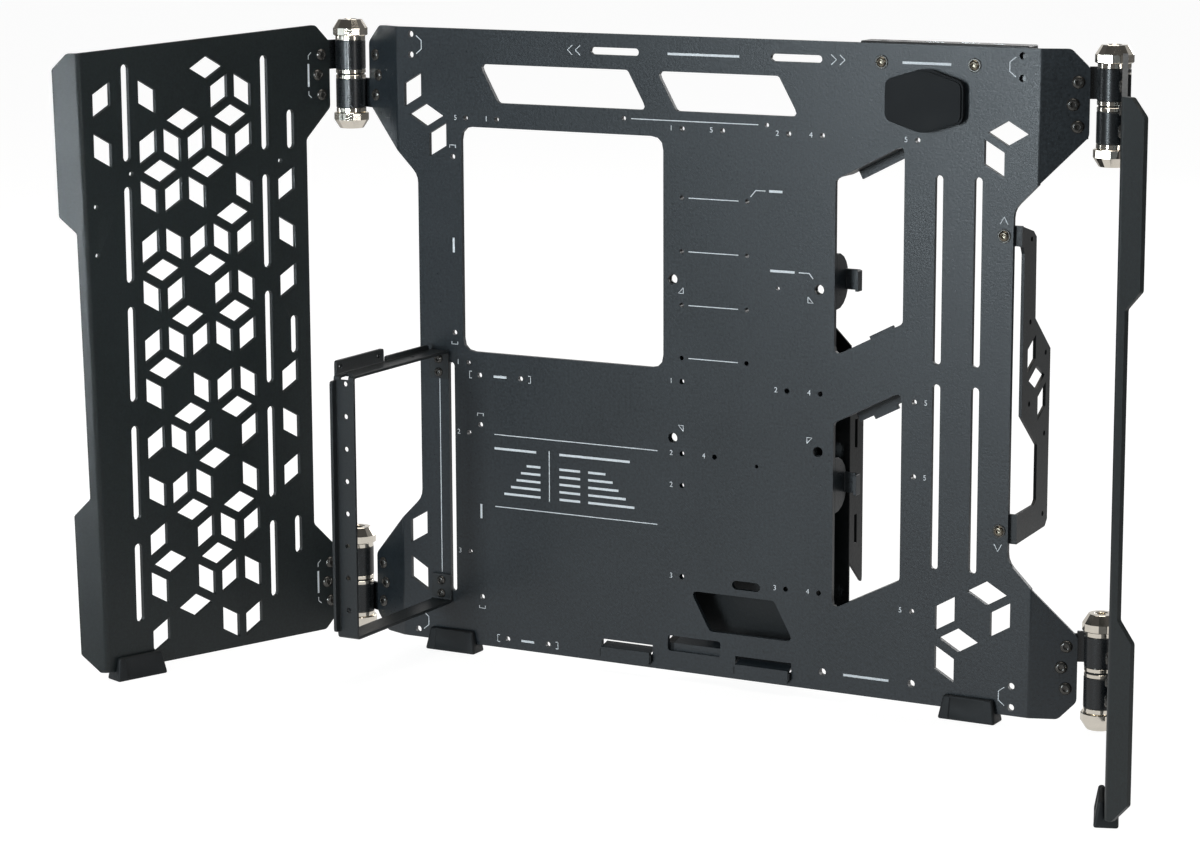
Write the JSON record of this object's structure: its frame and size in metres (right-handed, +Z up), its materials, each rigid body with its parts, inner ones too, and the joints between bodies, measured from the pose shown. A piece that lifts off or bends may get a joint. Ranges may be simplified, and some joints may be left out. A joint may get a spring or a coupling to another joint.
{
  "type": "open air test bench",
  "caption": "Upright open frame for bench testing computer boards: slotted steel panel, lattice side wings on friction hinges, brackets and feet.",
  "frame": {"origin": "middle of the bench's own box, on the floor plane under the feet", "axes": "+X to the right along the panel, +Y from the front of the panel to its back, +Z up"},
  "size_m": [0.7036, 0.2398, 0.4091],
  "materials": {
    "panel_coat": "matte powder coat",
    "wing_coat": "matte powder coat",
    "bracket_coat": "matte powder coat",
    "hinge_coat": "satin black",
    "nickel": "polished nickel",
    "pin_steel": "ground",
    "screw_steel": "black oxide",
    "screw_nickel": "nickel",
    "rubber": "matte",
    "box_plastic": "fine texture",
    "button_plastic": "satin",
    "port_metal": "satin",
    "port_plastic": "satin"
  },
  "bodies": {
    "bench": {"main_panel": "panel_coat", "cable_hooks": "panel_coat", "right_foot": "rubber", "left_foot": "rubber", "supply_frame": "bracket_coat", "supply_frame_screws": "screw_steel", "side_bracket": "bracket_coat", "side_bracket_screws": "screw_nickel", "drive_tray": "bracket_coat", "drive_tray_posts": "screw_nickel", "drive_tray_screws": "screw_steel", "connection_box": "box_plastic", "connection_box_screws": "screw_nickel", "usb_ports": "port_metal", "usb_c_port": "port_metal", "audio_jacks": "port_plastic", "upper_right_frame_knuckle": "hinge_coat", "upper_right_hinge_pin": "pin_steel", "upper_right_hinge_washers": "nickel", "upper_right_hinge_caps": "nickel", "upper_right_frame_screws": "screw_steel", "upper_left_frame_knuckle": "hinge_coat", "upper_left_hinge_pin": "pin_steel", "upper_left_hinge_washers": "nickel", "upper_left_hinge_caps": "nickel", "upper_left_frame_screws": "screw_steel", "lower_right_frame_knuckle": "hinge_coat", "lower_right_hinge_pin": "pin_steel", "lower_right_hinge_washers": "nickel", "lower_right_hinge_caps": "nickel", "lower_right_frame_screws": "screw_steel", "lower_left_frame_knuckle": "hinge_coat", "lower_left_hinge_pin": "pin_steel", "lower_left_hinge_washers": "nickel", "lower_left_hinge_caps": "nickel", "lower_left_frame_screws": "screw_steel"},
    "left_wing": {"left_wing_panel": "wing_coat", "left_wing_foot": "rubber", "upper_left_wing_knuckle": "hinge_coat", "upper_left_wing_screws": "screw_steel", "lower_left_wing_knuckle": "hinge_coat", "lower_left_wing_screws": "screw_steel"},
    "right_wing": {"right_wing_panel": "wing_coat", "right_wing_foot": "rubber", "upper_right_wing_knuckle": "hinge_coat", "upper_right_wing_screws": "screw_steel", "lower_right_wing_knuckle": "hinge_coat", "lower_right_wing_screws": "screw_steel"},
    "power_button": {"power_button": "button_plastic"}
  },
  "joints": [
    {"name": "left_wing_hinge", "type": "hinge", "parent": "bench", "child": "left_wing", "pos_m": [-0.26117, 0.07752, 0.206], "axis": [0, 0, 1], "range_deg": [-160, 40]},
    {"name": "right_wing_hinge", "type": "hinge", "parent": "bench", "child": "right_wing", "pos_m": [0.26117, 0.07752, 0.206], "axis": [0, 0, -1], "range_deg": [-160, 85]},
    {"name": "power_button_press", "type": "slide", "parent": "bench", "child": "power_button", "axis": [0, 1, 0], "range_m": [0, 0.002], "stiffness_N_per_m": 800, "springref_m": -0.002}
  ]
}
